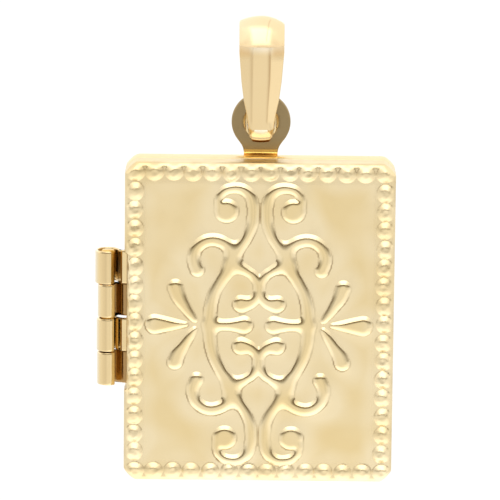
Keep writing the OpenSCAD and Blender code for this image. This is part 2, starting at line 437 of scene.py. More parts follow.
def struck_beads():
    """Centres, along-direction, half length and height of the border's beads, a little uneven."""
    chance = np.random.default_rng(BEAD_SEED)
    half_w, half_h = HALF_W - BEAD_IN, HALF_H - BEAD_IN
    beads = []
    for along in np.linspace(-half_w, half_w, BEADS_ACROSS):
        beads += [(along, -half_h, True), (along, half_h, True)]
    for along in np.linspace(-half_h, half_h, BEADS_DOWN)[1:-1]:
        beads += [(-half_w, along, False), (half_w, along, False)]
    for x, z, across in beads:
        shift = chance.uniform(-BEAD_SHIFT, BEAD_SHIFT, 2)
        yield (x + shift[0], z + shift[1], across, BEAD_ALONG * chance.uniform(*BEAD_LENGTHS),
               BEAD_H * chance.uniform(*BEAD_HEIGHTS))


def bead_profile(rise):
    """Height of a bead as a share: a straight slope up to 1 that bends softly into a flat crown."""
    bending = 1 - np.clip(1 + BEAD_BEND - rise, 0, 2 * BEAD_BEND) ** 2 / (4 * BEAD_BEND)
    return np.where(rise < 1 - BEAD_BEND, np.clip(rise, 0, 1), bending)


def bead_shape(x, z):
    """Depth inside the border's beads and their height there."""
    depth, height = np.full(x.shape, -1.0), np.zeros(x.shape)
    reach = 1.3
    for bead_x, bead_z, across, half_along, tall in struck_beads():
        near = np.nonzero((np.abs(x - bead_x) < reach) & (np.abs(z - bead_z) < reach))[0]
        along = x[near] - bead_x if across else z[near] - bead_z
        inward = (bead_z - z[near]) * np.sign(bead_z) if across else (bead_x - x[near]) * np.sign(bead_x)
        share = np.hypot(along / half_along, inward / np.where(inward > 0, BEAD_INWARD, BEAD_OUTWARD))
        depth[near] = np.maximum(depth[near], (1 - share) * half_along)
        height[near] = np.maximum(height[near], tall * bead_profile((1 - share) / BEAD_SLOPE))
    return depth, height


def patches(x, z, size, seed):
    """Soft irregular patches of a size in mm, from about -1 to 1."""
    return 2 * np.array([noise.noise(Vector((a / size, b / size, seed))) for a, b in zip(x, z)])


def unevenness(x, z):
    """A share from 0.2 to 1 that changes along a foot, as in hand-struck work; it makes the painted shade
    uneven.
    """
    return np.clip(0.6 + 0.55 * patches(x, z, *SPOTS), 0.2, 1)


def corner_reach(a, b):
    """How far a corner's outline reaches in the direction (a, b), as a share of its radius."""
    a, b = np.abs(a), np.abs(b)
    length = np.maximum(np.hypot(a, b), 1e-9)
    return ((a / length) ** CORNER_POWER + (b / length) ** CORNER_POWER) ** (-1 / CORNER_POWER)


def over_corner(x, z):
    """How far points lie past the start of their corner, across and up."""
    return np.abs(x) - (HALF_W - CORNER_R), np.abs(z) - (HALF_H - CORNER_R)


def edge_distance(x, z):
    """Distance from the outline of a cover, inwards."""
    over_x, over_z = over_corner(x, z)
    corner = (over_x > 0) & (over_z > 0)
    reach = CORNER_R * corner_reach(over_x, over_z)
    return np.where(corner, reach - np.hypot(over_x, over_z),
                    np.minimum(HALF_W - np.abs(x), HALF_H - np.abs(z)))


def face_grid(spacing):
    """Points of a cover's outline filled with a grid, its shape [rows, columns] and its rim in order."""
    roll = EDGE_R * (1 - np.sin(np.radians(np.linspace(90, 0, ROLL_STEPS + 1))))[:-1]

    def places(half):
        inner = np.linspace(-half + EDGE_R, half - EDGE_R, round(2 * (half - EDGE_R) / spacing) + 1)
        return np.concatenate([-half + roll, inner, (half - roll)[::-1]])

    xs, zs = places(HALF_W), places(HALF_H)
    x, z = np.meshgrid(xs, zs)
    a, b = (over / CORNER_R for over in over_corner(x, z))
    corner = (a > 0) & (b > 0)
    round_a = a * np.sqrt(np.clip(1 - b * b / 2, 0, 1))
    round_b = b * np.sqrt(np.clip(1 - a * a / 2, 0, 1))
    reach = corner_reach(round_a, round_b)
    round_a, round_b = round_a * reach, round_b * reach
    x = np.where(corner, np.sign(x) * (HALF_W - CORNER_R + CORNER_R * round_a), x)
    z = np.where(corner, np.sign(z) * (HALF_H - CORNER_R + CORNER_R * round_b), z)
    rows, columns = x.shape
    index = np.arange(rows * columns).reshape(rows, columns)
    rim = np.concatenate([index[0, :-1], index[:-1, -1], index[-1, :0:-1], index[:0:-1, 0]])
    quads = np.stack([index[:-1, :-1], index[:-1, 1:], index[1:, 1:], index[1:, :-1]], -1)
    return x.ravel(), z.ravel(), quads.reshape(-1, 4), rim


def inset(x, z, by):
    """The points of a cover's outline moved inwards by a distance, corners kept round."""
    least_r = 0.12
    radius = max(CORNER_R - by, least_r)
    over_x, over_z = over_corner(x, z)
    in_corner = (over_x > 0) & (over_z > 0)

    def moved(place, over, half):
        straight = half - by - radius
        return np.where(in_corner, np.sign(place) * (straight + over / CORNER_R * radius),
                        np.where(over > 0, np.sign(place) * (half - by),
                                 place * straight / (half - CORNER_R)))

    return moved(x, over_x, HALF_W), moved(z, over_z, HALF_H)


def relief_depth(x, z):
    """Depth inside the nearest raised form of the front; zero along its foot."""
    return np.maximum(scroll_depth(x, z + SCROLL_DOWN), bead_shape(x, z)[0])


def snap_to_feet(x, z, spacing):
    """Moves grid points near a raised form's foot onto it, so the crease there can be sharp.

    The result also tells which points those are and how steeply the form rises upwards there.
    """
    probe, least_steep = 0.004, 0.3
    inner = edge_distance(x, z) > EDGE_R
    depth = relief_depth(x, z)
    close = np.nonzero(inner & (np.abs(depth) < 0.5 * spacing))[0]
    x, z = x.copy(), z.copy()
    for _ in range(2):
        cx, cz = x[close], z[close]
        here = relief_depth(cx, cz)
        slope_x = (relief_depth(cx + probe, cz) - here) / probe
        slope_z = (relief_depth(cx, cz + probe) - here) / probe
        steep = np.maximum(slope_x ** 2 + slope_z ** 2, least_steep)
        x[close] -= np.clip(here * slope_x / steep, -spacing / 2, spacing / 2)
        z[close] -= np.clip(here * slope_z / steep, -spacing / 2, spacing / 2)
    on_foot = np.zeros(len(x), bool)
    on_foot[close] = True
    rising = np.zeros(len(x))
    rising[close] = slope_z
    return x, z, on_foot, rising


def cut_along(quads, on_foot):
    """Splits the quads that a foot crosses from corner to corner."""
    corners = on_foot[quads]
    first = corners[:, 0] & corners[:, 2] & ~corners[:, 1] & ~corners[:, 3]
    second = corners[:, 1] & corners[:, 3] & ~corners[:, 0] & ~corners[:, 2]
    kept = quads[~(first | second)].tolist()
    kept += quads[first][:, [0, 1, 2]].tolist() + quads[first][:, [0, 2, 3]].tolist()
    kept += quads[second][:, [0, 1, 3]].tolist() + quads[second][:, [1, 2, 3]].tolist()
    return kept


def hinge_hollow(x, z):
    """How far the covers' side is pressed in, along the hinge, at a point of a cover."""
    reach = 0.4
    beside = 1 - smoothstep(np.abs(z), BARREL_LEN / 2 - 0.05, BARREL_LEN / 2 + 0.1)
    return HOLLOW * beside * (1 - smoothstep(x + HALF_W, 0.0, reach))


def pressed_height(x, z):
    """Height of the scrollwork and the beads over the front's sheet."""
    depth = scroll_depth(x, z + SCROLL_DOWN)
    share = np.clip(depth / BAND_ROUND, 0, 1)
    scroll = BAND_H * (1 - (1 - share) ** 2) + SHEET_PULL * np.exp(np.minimum(depth, 0) / PULL_W)
    beads = bead_shape(x, z)[1]
    beads *= 1 - BEAD_DENTS * (1 + patches(x, z, *DENTS)) / 2
    beads += BEAD_GRAIN * patches(x, z, *GRAIN) * smoothstep(beads, 0.05, 0.2)
    return np.maximum(scroll, beads)


def paleness(x, z):
    """How much paler than the open field the sheet is, from 0 to 1: more beside the raised forms and the
    border, less on their crests, with random patches.
    """
    depth = scroll_depth(x, z + SCROLL_DOWN)
    near_scroll = 1 - smoothstep(-depth, 0.1, 1.7)
    near_border = 1 - smoothstep(edge_distance(x, z), 1.4, 2.6)
    crest = smoothstep(depth, 0.1, 0.35)
    near_forms = np.maximum(near_scroll * (1 - 0.8 * crest), 0.7 * near_border)
    return np.clip(0.8 * near_forms + 0.1 + 0.45 * patches(x, z, *TONE), 0, 1)


def pressed_shades(x, z, on_foot, rising):
    """Shades of the front's sheet: painted brown shade along the feet and the edge, a paler sheet beside
    the forms and a satin border.
    """
    from_edge = edge_distance(x, z)
    on_bead = bead_shape(x, z)[0] > scroll_depth(x, z + SCROLL_DOWN)
    # Painted shade along the beads' upper feet, the bands' lower and side feet and the cover's edge.
    shaded_side = np.where(on_bead, smoothstep(-rising, -0.1, 0.6), smoothstep(rising, -0.6, 0.2))
    foot = np.where(on_bead, BEAD_SHADE, FOOT_SHADE) * on_foot * shaded_side
    edge = EDGE_SHADE * (1 - smoothstep(from_edge, 0.02, 0.24))
    return {"crease": np.maximum(foot, edge) * unevenness(x, z), "pale": paleness(x, z),
            "satin": BEAD_SATIN * (1 - smoothstep(from_edge, BORDER_W, BORDER_W + 0.4))}


RIM_LOOPS = 8  # the profile's loops from the outer wall over the rim to the ledge


def tray_profile(outer_y, seam_y, way):
    """A cover's section from its outer wall over the rim and the photo ledge to its floor: (inset, y)."""
    soft, small = 0.07, 0.02
    ledge_y = seam_y - way * (SHELL_D - SHEET_T - LEDGE_H)
    floor_y = seam_y - way * (SHELL_D - SHEET_T)
    step = WALL_T + LEDGE_W
    return [
        (0, outer_y + way * (EDGE_R + 0.12)), (0, seam_y - way * soft), (small, seam_y - way * small),
        (soft, seam_y), (WALL_T - soft, seam_y), (WALL_T - small, seam_y - way * small),
        (WALL_T, seam_y - way * soft), (WALL_T, ledge_y + way * 0.05), (WALL_T + 0.05, ledge_y),
        (step - 0.04, ledge_y), (step, ledge_y - way * 0.04), (step, floor_y + way * 0.03),
        (step + 0.03, floor_y), (step + 0.1, floor_y), (step + 0.2, floor_y),
    ]


def cover_tray(builder, outer_y, seam_y, spacing, pressed):
    """One cover as a closed shell: its outer sheet, rim, photo ledge and floor."""
    way = 1 if seam_y > outer_y else -1
    x, z, quads, rim = face_grid(spacing)
    height, shades = np.zeros(len(x)), {"satin": np.zeros(len(x))}
    faces = quads.tolist()
    if pressed:
        x, z, on_foot, rising = snap_to_feet(x, z, spacing)
        faces = cut_along(quads, on_foot)
        builder.feet = set(np.nonzero(on_foot)[0].tolist())
        height = pressed_height(x, z)
        shades = pressed_shades(x, z, on_foot, rising)
    shades["satin"] = [*shades["satin"], *[RIM_SATIN] * (RIM_LOOPS * len(rim))]
    distance = np.clip(edge_distance(x, z), 0, EDGE_R)
    drop = EDGE_R * (1 - np.sqrt(np.clip(1 - (1 - distance / EDGE_R) ** 2, 0, 1)))
    sheet = WAVE_H * (patches(x, z, WAVE_LEN, outer_y) / 2 - 1)
    y = outer_y + way * (drop - (height + sheet) * smoothstep(distance, 0.0, 0.22))
    loops = [np.stack([x + hinge_hollow(x, z), y, z + MID_Z], 1)]
    last, total = rim, len(x)
    for by, depth in tray_profile(outer_y, seam_y, way):
        loop_x, loop_z = inset(x[rim], z[rim], by)
        loops.append(np.stack([loop_x + hinge_hollow(loop_x, loop_z), np.full(len(rim), depth),
                               loop_z + MID_Z], 1))
        now = np.arange(total, total + len(rim))
        faces += np.stack([last, np.roll(last, -1), np.roll(now, -1), now], 1).tolist()
        last, total = now, total + len(rim)
    faces.append(last.tolist())
    builder.add(np.vstack(loops), faces, **shades)


front = Builder()
cover_tray(front, FACE_Y, FRONT_SEAM_Y, spacing=0.08, pressed=True)
front.make("front_tray", face_gold, "front", "pressed_gold", ("front_cover",), sharp=50)

back = Builder()
cover_tray(back, REAR_Y, BACK_SEAM_Y, spacing=0.3, pressed=False)
back.make("back_tray", back_gold, "rear", "back_gold", ("back_cover",), sharp=50)


# Hinge.

KNUCKLE_PITCH = BARREL_LEN / KNUCKLES
PIN_R = float(pin_high[0] - pin_low[0]) / 2
ROLL_SHEET = 0.2
# Painted shade in the pockets between a roll and its cover, behind the front and the back knuckles.
FRONT_POCKET_SHADE = 0.12
BACK_POCKET_SHADE = 0.75
LEAF_START_X = -HALF_W - 0.18
LEAF_END_X = -HALF_W + 0.3
# Corners of the pockets between a roll and its cover, as (distance out, distance behind the leaf's front).
FRONT_POCKET = [(0, 0), (0.02, 0.14), (0.12, 0.23), (0.25, 0.28)]
BACK_POCKET = [(-HOLLOW, 0), (0.14, 0.07), (0.3, 0.18), (0.46, 0.30), (0.6, 0.36)]
# Angles round the pin at which a back knuckle's roll and the inner side of a front one's end.
BACK_ROLL_END = 135
FRONT_INNER_END = 96
OUTER_STEPS = 64
INNER_STEPS = 56
PIN_SIDES = 40
PIN_SHORT = 0.03
# The pin's rounded end as (radius, distance from the end).
PIN_END = [(PIN_R * 0.6, 0), (PIN_R * 0.85, 0.03), (PIN_R, 0.12)]


def turn_angles(count):
    """Equally spread angles of a full turn, in radians."""
    return np.linspace(0, 2 * math.pi, count, endpoint=False)


def on_roll(radius, degrees):
    """A point round the pin: 0 degrees faces the viewer and 90 faces the covers."""
    a = math.radians(degrees)
    return (HINGE_X + radius * math.sin(a), HINGE_Y - radius * math.cos(a))


def roll_outline(roll_r, free_end, leaf_front, leaf_back):
    """Outline of sheet rolled round the pin, from its free end to the leaf, with its painted shade and
    highlight.
    """
    inner_r = max(roll_r - ROLL_SHEET, PIN_R + 0.02)
    leaf = [(LEAF_END_X, leaf_back), (LEAF_END_X, leaf_front)]
    if leaf_front > HINGE_Y:
        leaf.insert(0, (-HALF_W, leaf_back))
        outer_end = inner_end = BACK_ROLL_END
        pocket = [(-HALF_W - out, leaf_front + behind) for out, behind in BACK_POCKET]
        shade = BACK_POCKET_SHADE
    else:
        outer_end = math.degrees(math.acos((HINGE_Y - leaf_back) / roll_r))
        inner_end = FRONT_INNER_END
        pocket = [(LEAF_START_X - out, leaf_front + behind) for out, behind in FRONT_POCKET]
        shade = FRONT_POCKET_SHADE
    outer_angles = np.linspace(free_end - 3, outer_end - 360, OUTER_STEPS)
    outer = [on_roll(roll_r, a) for a in outer_angles]
    inner = [on_roll(inner_r, a) for a in np.linspace(inner_end - 360, free_end - 4, INNER_STEPS)]
    tip = [on_roll(inner_r + 0.05, free_end), on_roll((roll_r + inner_r) / 2, free_end + 1),
           on_roll(roll_r - 0.05, free_end)]
    # Painted shade a little left of the roll's front and in the pocket, painted highlight on the roll's
    # left side and its free end.
    plain = 3  # the leaf's points and, on the front cover, the pocket's first
    dark = len(leaf) + len(pocket) + len(inner) - plain
    crease = [0.16 * bell(a + 15, 16) for a in outer_angles]
    crease += [0.0] * plain + [shade] * dark + [0.0] * len(tip)
    pale = [0.9 * smoothstep(-a, 35, 80) * smoothstep(-a, 200, 150) for a in outer_angles]
    pale += [0.0] * (plain + dark) + [0.6] * len(tip)
    return outer + leaf + pocket + inner + tip, crease, pale


def shrunk(outline, by):
    """A closed outline with each point moved inwards along its own normal."""
    p = np.asarray(outline, float)
    ahead, behind = np.roll(p, -1, 0) - p, p - np.roll(p, 1, 0)
    ahead /= np.linalg.norm(ahead, axis=1)[:, None]
    behind /= np.linalg.norm(behind, axis=1)[:, None]
    tangent = ahead + behind
    tangent /= np.maximum(np.linalg.norm(tangent, axis=1), 1e-6)[:, None]
    normal = np.stack([tangent[:, 1], -tangent[:, 0]], 1)
    area = 0.5 * np.sum(p[:, 0] * np.roll(p[:, 1], -1) - np.roll(p[:, 0], -1) * p[:, 1])
    return p - normal * by * (1 if area > 0 else -1)


def rolled_knuckle(builder, index, roll_r, free_end, leaf_front, leaf_back):
    """One knuckle, counted from the top, with softened ends."""
    high = BARREL_LOW + BARREL_LEN - index * KNUCKLE_PITCH - KNUCKLE_GAP / 2
    low = BARREL_LOW + BARREL_LEN - (index + 1) * KNUCKLE_PITCH + KNUCKLE_GAP / 2
    outline, crease, pale = roll_outline(roll_r, free_end, leaf_front, leaf_back)
    soft = 0.08
    ends = ((0.0, soft), (0.3 * soft, 0.3 * soft), (soft, 0), (2 * soft, 0))
    levels = [(low + up, by) for up, by in ends] + [(high - up, by) for up, by in ends[::-1]]
    builder.rings([[(x, y, z) for x, y in shrunk(outline, by)] for z, by in levels],
                  crease=crease * len(levels), pale=pale * len(levels))


# Each knuckle from the top: its radius and the angle of its sheet's free end.
ROLLS = [(0.848, 19), (0.67, 50), (0.74, 39), (0.705, 48)]
front_leaf = (FRONT_SEAM_Y - LEAF_T, FRONT_SEAM_Y)
back_leaf = (BACK_SEAM_Y, BACK_SEAM_Y + LEAF_T)
for name, body, slot, cover, indexes, leaf in (
        ("front_knuckles", "front", "pressed_gold", "front_cover", (0, 2), front_leaf),
        ("back_knuckles", "rear", "back_gold", "back_cover", (1, 3), back_leaf)):
    rolls = Builder()
    for i in indexes:
        rolled_knuckle(rolls, i, *ROLLS[i], *leaf)
    rolls.make(name, hinge_gold, body, slot, (cover,), sharp=40)

pin_rings = [(radius, BARREL_LOW + PIN_SHORT + up) for radius, up in PIN_END]
pin_rings += [(radius, BARREL_LOW + BARREL_LEN - PIN_SHORT - up) for radius, up in PIN_END[::-1]]
pin = Builder()
pin.rings([[(HINGE_X + radius * math.cos(a), HINGE_Y + radius * math.sin(a), z)
            for a in turn_angles(PIN_SIDES)] for radius, z in pin_rings])
pin.make("hinge_wire", pin_gold, "rear", "pin_gold", ("hinge_pin",), sharp=40)


# Lug.

LUG_SIDES = 240
LUG_BEVEL = 0.07
EYE_FUNNEL = 0.22  # how far the eye narrows at its sides towards the back
NECK_MELT = 0.6  # softens the corners between disc and neck
NECK_UP = 0.05  # how far above the covers the neck ends, inside the foot
lug_front, lug_back = -LUG_T / 2, LUG_T / 2


def lug_reach(angle, shrink):
    """Distance from the eye's centre to the lug's outline; angle 0 points straight down."""
    disc = LUG_R - shrink
    half = NECK_W / 2 - shrink
    down = EYE_Z - TOP_Z - NECK_UP
    side = half / max(abs(math.sin(angle)), 1e-6)
    bottom = down / max(math.cos(angle), 1e-6) if math.cos(angle) > 0 else -math.inf
    neck = min(side, bottom)
    return max(disc, neck) + NECK_MELT / 4 * max(0.0, 1 - abs(disc - neck) / NECK_MELT) ** 2


def lug_ring(share, shrink, y, funnel=0.0):
    """A ring between the eye, at share 0, and the lug's outline, at share 1."""
    ring = []
    for angle in turn_angles(LUG_SIDES):
        eye = EYE_R + shrink - funnel * math.sin(angle) ** 4
        radius = eye * (1 - share) + lug_reach(angle, shrink) * share
        ring.append((radius * math.sin(angle), y, EYE_Z - radius * math.cos(angle)))
    return ring


eye_wall = [
    lug_ring(0, 0, lug_back - LUG_BEVEL, EYE_FUNNEL), lug_ring(0, 0, 0.0, EYE_FUNNEL * 0.8),
    lug_ring(0, 0, lug_front + LUG_BEVEL, EYE_FUNNEL * 0.3), lug_ring(0, LUG_BEVEL, lug_front),
]
lug_rings = eye_wall + [lug_ring(share, LUG_BEVEL, lug_front) for share in (0.3, 0.65, 1)]
lug_rings += [lug_ring(1, 0, lug_front + LUG_BEVEL), lug_ring(1, 0, lug_back - LUG_BEVEL)]
lug_rings += [lug_ring(share, LUG_BEVEL, lug_back) for share in (1, 0.65, 0.3, 0)]
lug = Builder()
lug.rings(lug_rings, closed=True)
# The lug's faces carry the painted dark gold, its eye wall the plain back gold.
lug.make("lug", lug_gold_painted_dark, "rear", "back_gold", ("back_cover",), sharp=30, second=back_gold,
         second_faces=range((len(eye_wall) - 1) * LUG_SIDES))


# The lug's foot, with solder pooled on it and run out beside it, and a painted dark reflection of the lug
# on the pool.

# The foot's section as [distance in front of the lug, height above the covers].
FOOT_SECTION = [
    (-0.06, -0.02), (-0.06, 0.36), (0.0, 0.36), (0.003, 0.30), (0.008, 0.24), (0.02, 0.18),
    (0.05, 0.12), (0.10, 0.085), (0.20, 0.065), (0.35, 0.06), (0.55, 0.06), (0.75, 0.065),
    (0.92, 0.08), (1.02, 0.085), (1.09, 0.08), (1.13, 0.065), (1.16, 0.04), (1.19, 0.015),
    (1.24, 0.0), (1.24, -0.02),
]
POOL_POINTS = range(7, 15)  # the section's points under the solder pool
# Painted dark reflection of the lug on the pool.
POOL_SHADE = 0.7
FOOT_CORNER = 0.3
FOOT_STEPS = 49
SPUR_LEN = 0.62
SPUR_OUT = 0.85  # how far in front of the lug
SPUR_HALF = 0.13
SPUR_H = 0.05
SPUR_SUNK = 0.01
SPUR_STEPS = 12
SPUR_SIDES = 16
half_neck = NECK_W / 2


def solder_edge(x):
    """How far the solder's front edge wanders at x, in mm."""
    return 0.05 * noise.noise(Vector((x * 3.1, 0.4, 1.9)))


def foot_ring(across):
    """Section of the foot at a share across from -1 to 1, and its painted shade."""
    depth = FOOT_SECTION[-1][0]
    x = half_neck * math.sin(across * math.pi / 2)
    over = max(0.0, abs(x) - (half_neck - FOOT_CORNER)) / FOOT_CORNER
    rounding = FOOT_CORNER * (1 - math.sqrt(max(0.0, 1 - over * over)))
    stretch = (depth - rounding + solder_edge(x)) / depth
    ring = [(x, lug_front - out * (stretch if out > 0.1 else 1), TOP_Z + up) for out, up in FOOT_SECTION]
    # Painted dark reflection in the pool's middle, fading out towards the sides.
    pool = POOL_SHADE * (1 - smoothstep(abs(across), 0.3, 0.75))
    return ring, [pool if i in POOL_POINTS else 0.0 for i in range(len(ring))]


def spur_ring(side, share):
    """Section of the thin solder beside the foot, at a share of its length."""
    reach = half_neck - 0.08 + SPUR_LEN * share
    thin = math.sqrt(1 - 0.98 * share)
    mid_y = lug_front - SPUR_OUT + 2 * solder_edge(side * reach)
    return [(side * reach, mid_y + SPUR_HALF * thin * math.cos(a),
             TOP_Z - SPUR_SUNK + (SPUR_SUNK + SPUR_H * thin) * max(0.0, math.sin(a)))
            for a in turn_angles(SPUR_SIDES)]


foot = Builder()
foot_rings, foot_shades = zip(*(foot_ring(across) for across in np.linspace(-1, 1, FOOT_STEPS)))
foot.rings(foot_rings, crease=sum(foot_shades, []))
for side in (-1, 1):
    foot.rings([spur_ring(side, share) for share in np.linspace(0, 1, SPUR_STEPS)])
foot.make("lug_foot", foot_gold_painted_reflection, "rear", "back_gold", ("back_cover",), sharp=40)


# Bail.

# The strap's width at drops from the top of the bail, and in the eye.
STRAP_WIDTHS = [
    (0, 3.02), (2.3, 2.98), (4.3, 2.67), (5.6, 2.34), (6.5, 1.98), (7.1, 1.80), (7.55, 1.70),
    (8.0, 1.62), (8.3, 1.42),
]
EYE_STRAP_W = 1.2
EDGE_FALL = 0.12
# The facets' edges left and right of the strap's middle, as (drop from the top, distance).
LEFT_EDGE = [(0, 0.62), (8.3, 0.62)]
RIGHT_EDGE = [(0, 0.57), (4.0, 0.56), (6.2, 0.44), (7.0, 0.41), (7.6, 0.62)]
# The crown's fall at its left and right side, and by what share it grows below the top.
LEFT_DOME, RIGHT_DOME = (0.34, 0.3), (0.52, 0.05)
FOLD_SATIN = 3.2
# Painted shade: brown lines along the leg's facets and beside the crown's highlight.
LEFT_LINE, RIGHT_LINE, CROWN_LINE = 0.28, 0.52, 0.3
# Painted shade on the crown just above the fold and beside the toe's bright facet.
ABOVE_FOLD_SHADE = 0.18
TOE_SIDE_SHADE = 0.3
# Ranges of the tilt in degrees of the strap's outward normal; 0 faces the viewer, 90 is up.
CROWN_TILTS, FOLD_TILTS, LEG_TILTS = (8, 70), (-12, 12), (-12, 8)
TOE_TILTS, UNDER_TILTS = (-18, -12), (-74, -18)
BAIL_LEAN = 8.6  # degrees between the leg and the upright
SHIN = 5.77
TOE_BOW = 0.1  # how far the toe's lower edge is bowed
TOE_TURN = 138.3
EYE_DROP = 4  # below this drop, points near the middle of the depth lie in the eye
SPREAD = 0.5  # length of strap over which mean_tilt averages
HAIR = 0.001  # too little to be seen
bail_top_z = float(bail_high[2])

# The front half of the strap: bends as (radius, turn, points) and runs as (length, points).
CROWN = [("bend", 1.3, 40, 14), ("bend", 3.2, 33, 20), ("bend", 0.05, 17 + BAIL_LEAN, 4)]
LEG = [("run", SHIN, 40)]
TOE = [
    ("bend", 0.12, 7.5, 3), ("run", 0.5, 5), ("bend", 0.05, -10, 3), ("run", 0.12, 2),
    ("bend", 0.29, TOE_TURN, 18), ("run", 0.15, 3), ("bend", 0.25, 92.5 - BAIL_LEAN - TOE_TURN, 5),
]


def walk(y, z, tilt, steps):
    """Rows (y, z, tilt of the outward normal) along bends and runs."""
    line = [(y, z, tilt)]
    for kind, *values in steps:
        count = values[-1]
        for _ in range(count):
            if kind == "bend":
                radius, turn = values[0], values[1] / count
                stride = 2 * radius * math.sin(math.radians(abs(turn)) / 2)
            else:
                stride, turn = values[0] / count, 0.0
            heading = math.radians(tilt - turn / 2)
            y -= stride * math.sin(heading)
            z -= stride * math.cos(heading)
            tilt -= turn
            line.append((y, z, tilt))
    return line


half_line = walk(0.0, bail_top_z, 90.0, CROWN + LEG + TOE)
fold_row = sum(step[-1] for step in CROWN)
toe_row = fold_row + LEG[0][-1]
FOLD_DROP = bail_top_z - half_line[fold_row][1]
TOE_Z = half_line[toe_row][1] - HAIR
TOE_DROP = bail_top_z - TOE_Z
half_line.append((-HAIR, half_line[-1][1], -90.0))
bail_line = half_line + [(-y, z, 180 - tilt) for y, z, tilt in half_line[-2:0:-1]]


def within(value, limits):
    return limits[0] < value < limits[1]


def strap_half(y, z):
    """Half the strap's width at a point of its course."""
    drops, widths = zip(*STRAP_WIDTHS)
    wide = float(np.interp(bail_top_z - z, drops, widths))
    if bail_top_z - z > EYE_DROP:
        wide += (EYE_STRAP_W - wide) * smoothstep(abs(y), 0.5, 0.15)
    return wide / 2


def strap_fall(share, flat_share, drop, side):
    """How far the strap falls back from its middle, at a share of its half width.

    Its crown is domed. Below the fold it is flat up to flat_share and then a facet falls back.
    """
    crown = 1 - smoothstep(drop, FOLD_DROP - 0.9, FOLD_DROP + 0.9)
    facet = EDGE_FALL * max(0.0, (share - flat_share) / (1 - flat_share))
    dome, growth = LEFT_DOME if side < 0 else RIGHT_DOME
    dome = dome * share ** 2 * (1 + growth * smoothstep(drop, 0.2, 0.9))
    return (1 - crown) * facet + crown * dome


# The strap's outer points from its middle to its side, as (share of the half width, fall).
ACROSS = [(share, 0.0) for share in np.linspace(0, 0.92, 24)] + [(0.965, 0.01), (0.99, 0.035), (1, 0.07)]


def edge_share(edge, drop, half):
    """Where a facet's edge lies, as a share of the strap's half width."""
    drops, distances = zip(*edge)
    return min(float(np.interp(drop, drops, distances)), half - 0.16) / half


def line_shade(off, wide_side, other_side):
    """Shade beside a line that fades slowly on one side, where off is negative."""
    return bell(off, wide_side if off < 0 else other_side)


def toe_width(drop):
    """Half width of the toe's bright facet, which flares downwards, as a share of the strap's."""
    return 0.5 + 0.42 * smoothstep(drop, TOE_DROP, TOE_DROP + 0.5)


def strap_shade(share, left, right, drop, tilt, in_toe):
    """Painted brown shade of the strap: along its facets' edges, beside the crown's highlight, above the
    fold and under the toe.
    """
    if in_toe and within(tilt, UNDER_TILTS):
        return 1.0
    if in_toe:
        return TOE_SIDE_SHADE if within(tilt, TOE_TILTS) and abs(share) > toe_width(drop) else 0.0
    if within(tilt, LEG_TILTS):
        fade = 1 - 0.35 * smoothstep(drop, 3.5, 6.5)
        fade *= smoothstep(drop, FOLD_DROP - 0.1, FOLD_DROP + 0.7)
        fade *= 1 - smoothstep(drop, 6.9, 7.3)
        return fade * (LEFT_LINE * line_shade(share + left, 0.10, 0.03)
                       + RIGHT_LINE * line_shade(share - right, 0.09, 0.025))
    if within(tilt, CROWN_TILTS):
        across = 0.18 + 0.20 * (tilt - 22) / 43
        strength = CROWN_LINE * smoothstep(tilt, 20, 26) * smoothstep(tilt, 70, 60)
        above_fold = ABOVE_FOLD_SHADE * smoothstep(drop, FOLD_DROP - 0.7, FOLD_DROP)
        return max(above_fold, strength * line_shade(share - across, 0.03, 0.02))
    return 0.0


def strap_pale(share, drop, tilt, in_toe):
    """Painted highlight: how much paler the crown, the leg's top below the fold and the toe's bright facet
    are.
    """
    if in_toe:
        return 1.0 if within(tilt, TOE_TILTS) and abs(share) < toe_width(drop) else 0.0
    crown = smoothstep(90 - abs(90 - tilt), 0, 55) * (0.2 - 0.1 * share)
    below_fold = 1 - smoothstep(drop, FOLD_DROP, FOLD_DROP + 0.6)
    return crown + (0.8 - 0.3 * abs(share)) * below_fold * bell(tilt + 2, 14)


def strap_ring(row, inner_tilt):
    """Section of the strap: its outer side with the facets, then its plain inner side."""
    y, z, tilt = row
    half, drop, in_toe = strap_half(y, z), bail_top_z - z, z < TOE_Z
    left, right = edge_share(LEFT_EDGE, drop, half), edge_share(RIGHT_EDGE, drop, half)
    outer = [(-share, soft) for share, soft in ACROSS[:0:-1]] + ACROSS
    a, b = math.radians(tilt), math.radians(inner_tilt)
    bow = TOE_BOW * (smoothstep(TOE_Z - z, 0.0, 0.5) * smoothstep(abs(y), 0.15, 0.45))
    fold = smoothstep(tilt, -BAIL_LEAN, -2) * (1 - smoothstep(tilt, 12, 24))
    below = 1 - smoothstep(drop, FOLD_DROP + 0.3, FOLD_DROP + 1.1)
    beside = below if within(tilt, FOLD_TILTS) else 0

    def place(share, soft, inward):
        """The point at a share across, softened by soft and so far inside the strap."""
        fall = strap_fall(abs(share), left if share < 0 else right, drop, share) + soft
        return (share * half, y + fall * math.cos(a) + inward * math.cos(b),
                z - fall * math.sin(a) - inward * math.sin(b) + bow * (share ** 2 - 0.5))

    ring = [place(share, soft, 0) for share, soft in outer]
    ring += [place(share, 0, STRAP_T - soft) for share, soft in outer[::-1]]
    # Painted shade and highlight on the outer side only; the inner side stays plain.
    plain = [0.0] * len(outer)
    crease = [strap_shade(share, left, right, drop, tilt, in_toe) for share, _ in outer]
    pale = [strap_pale(share, drop, tilt, in_toe) for share, _ in outer]
    satin = [FOLD_SATIN * max(fold, beside * smoothstep(abs(share), 0.25, 0.6)) for share, _ in outer]
    return ring, crease + plain, satin + plain, pale + plain


def mean_tilt(line, at):
    """The normal's tilt averaged over the strap's length near a row, so its inner side stays plain."""
    y, z = line[at][:2]
    near = [math.radians(t) for v, w, t in line if math.hypot(v - y, w - z) < SPREAD / 2]
    return math.degrees(math.atan2(sum(map(math.sin, near)), sum(map(math.cos, near))))


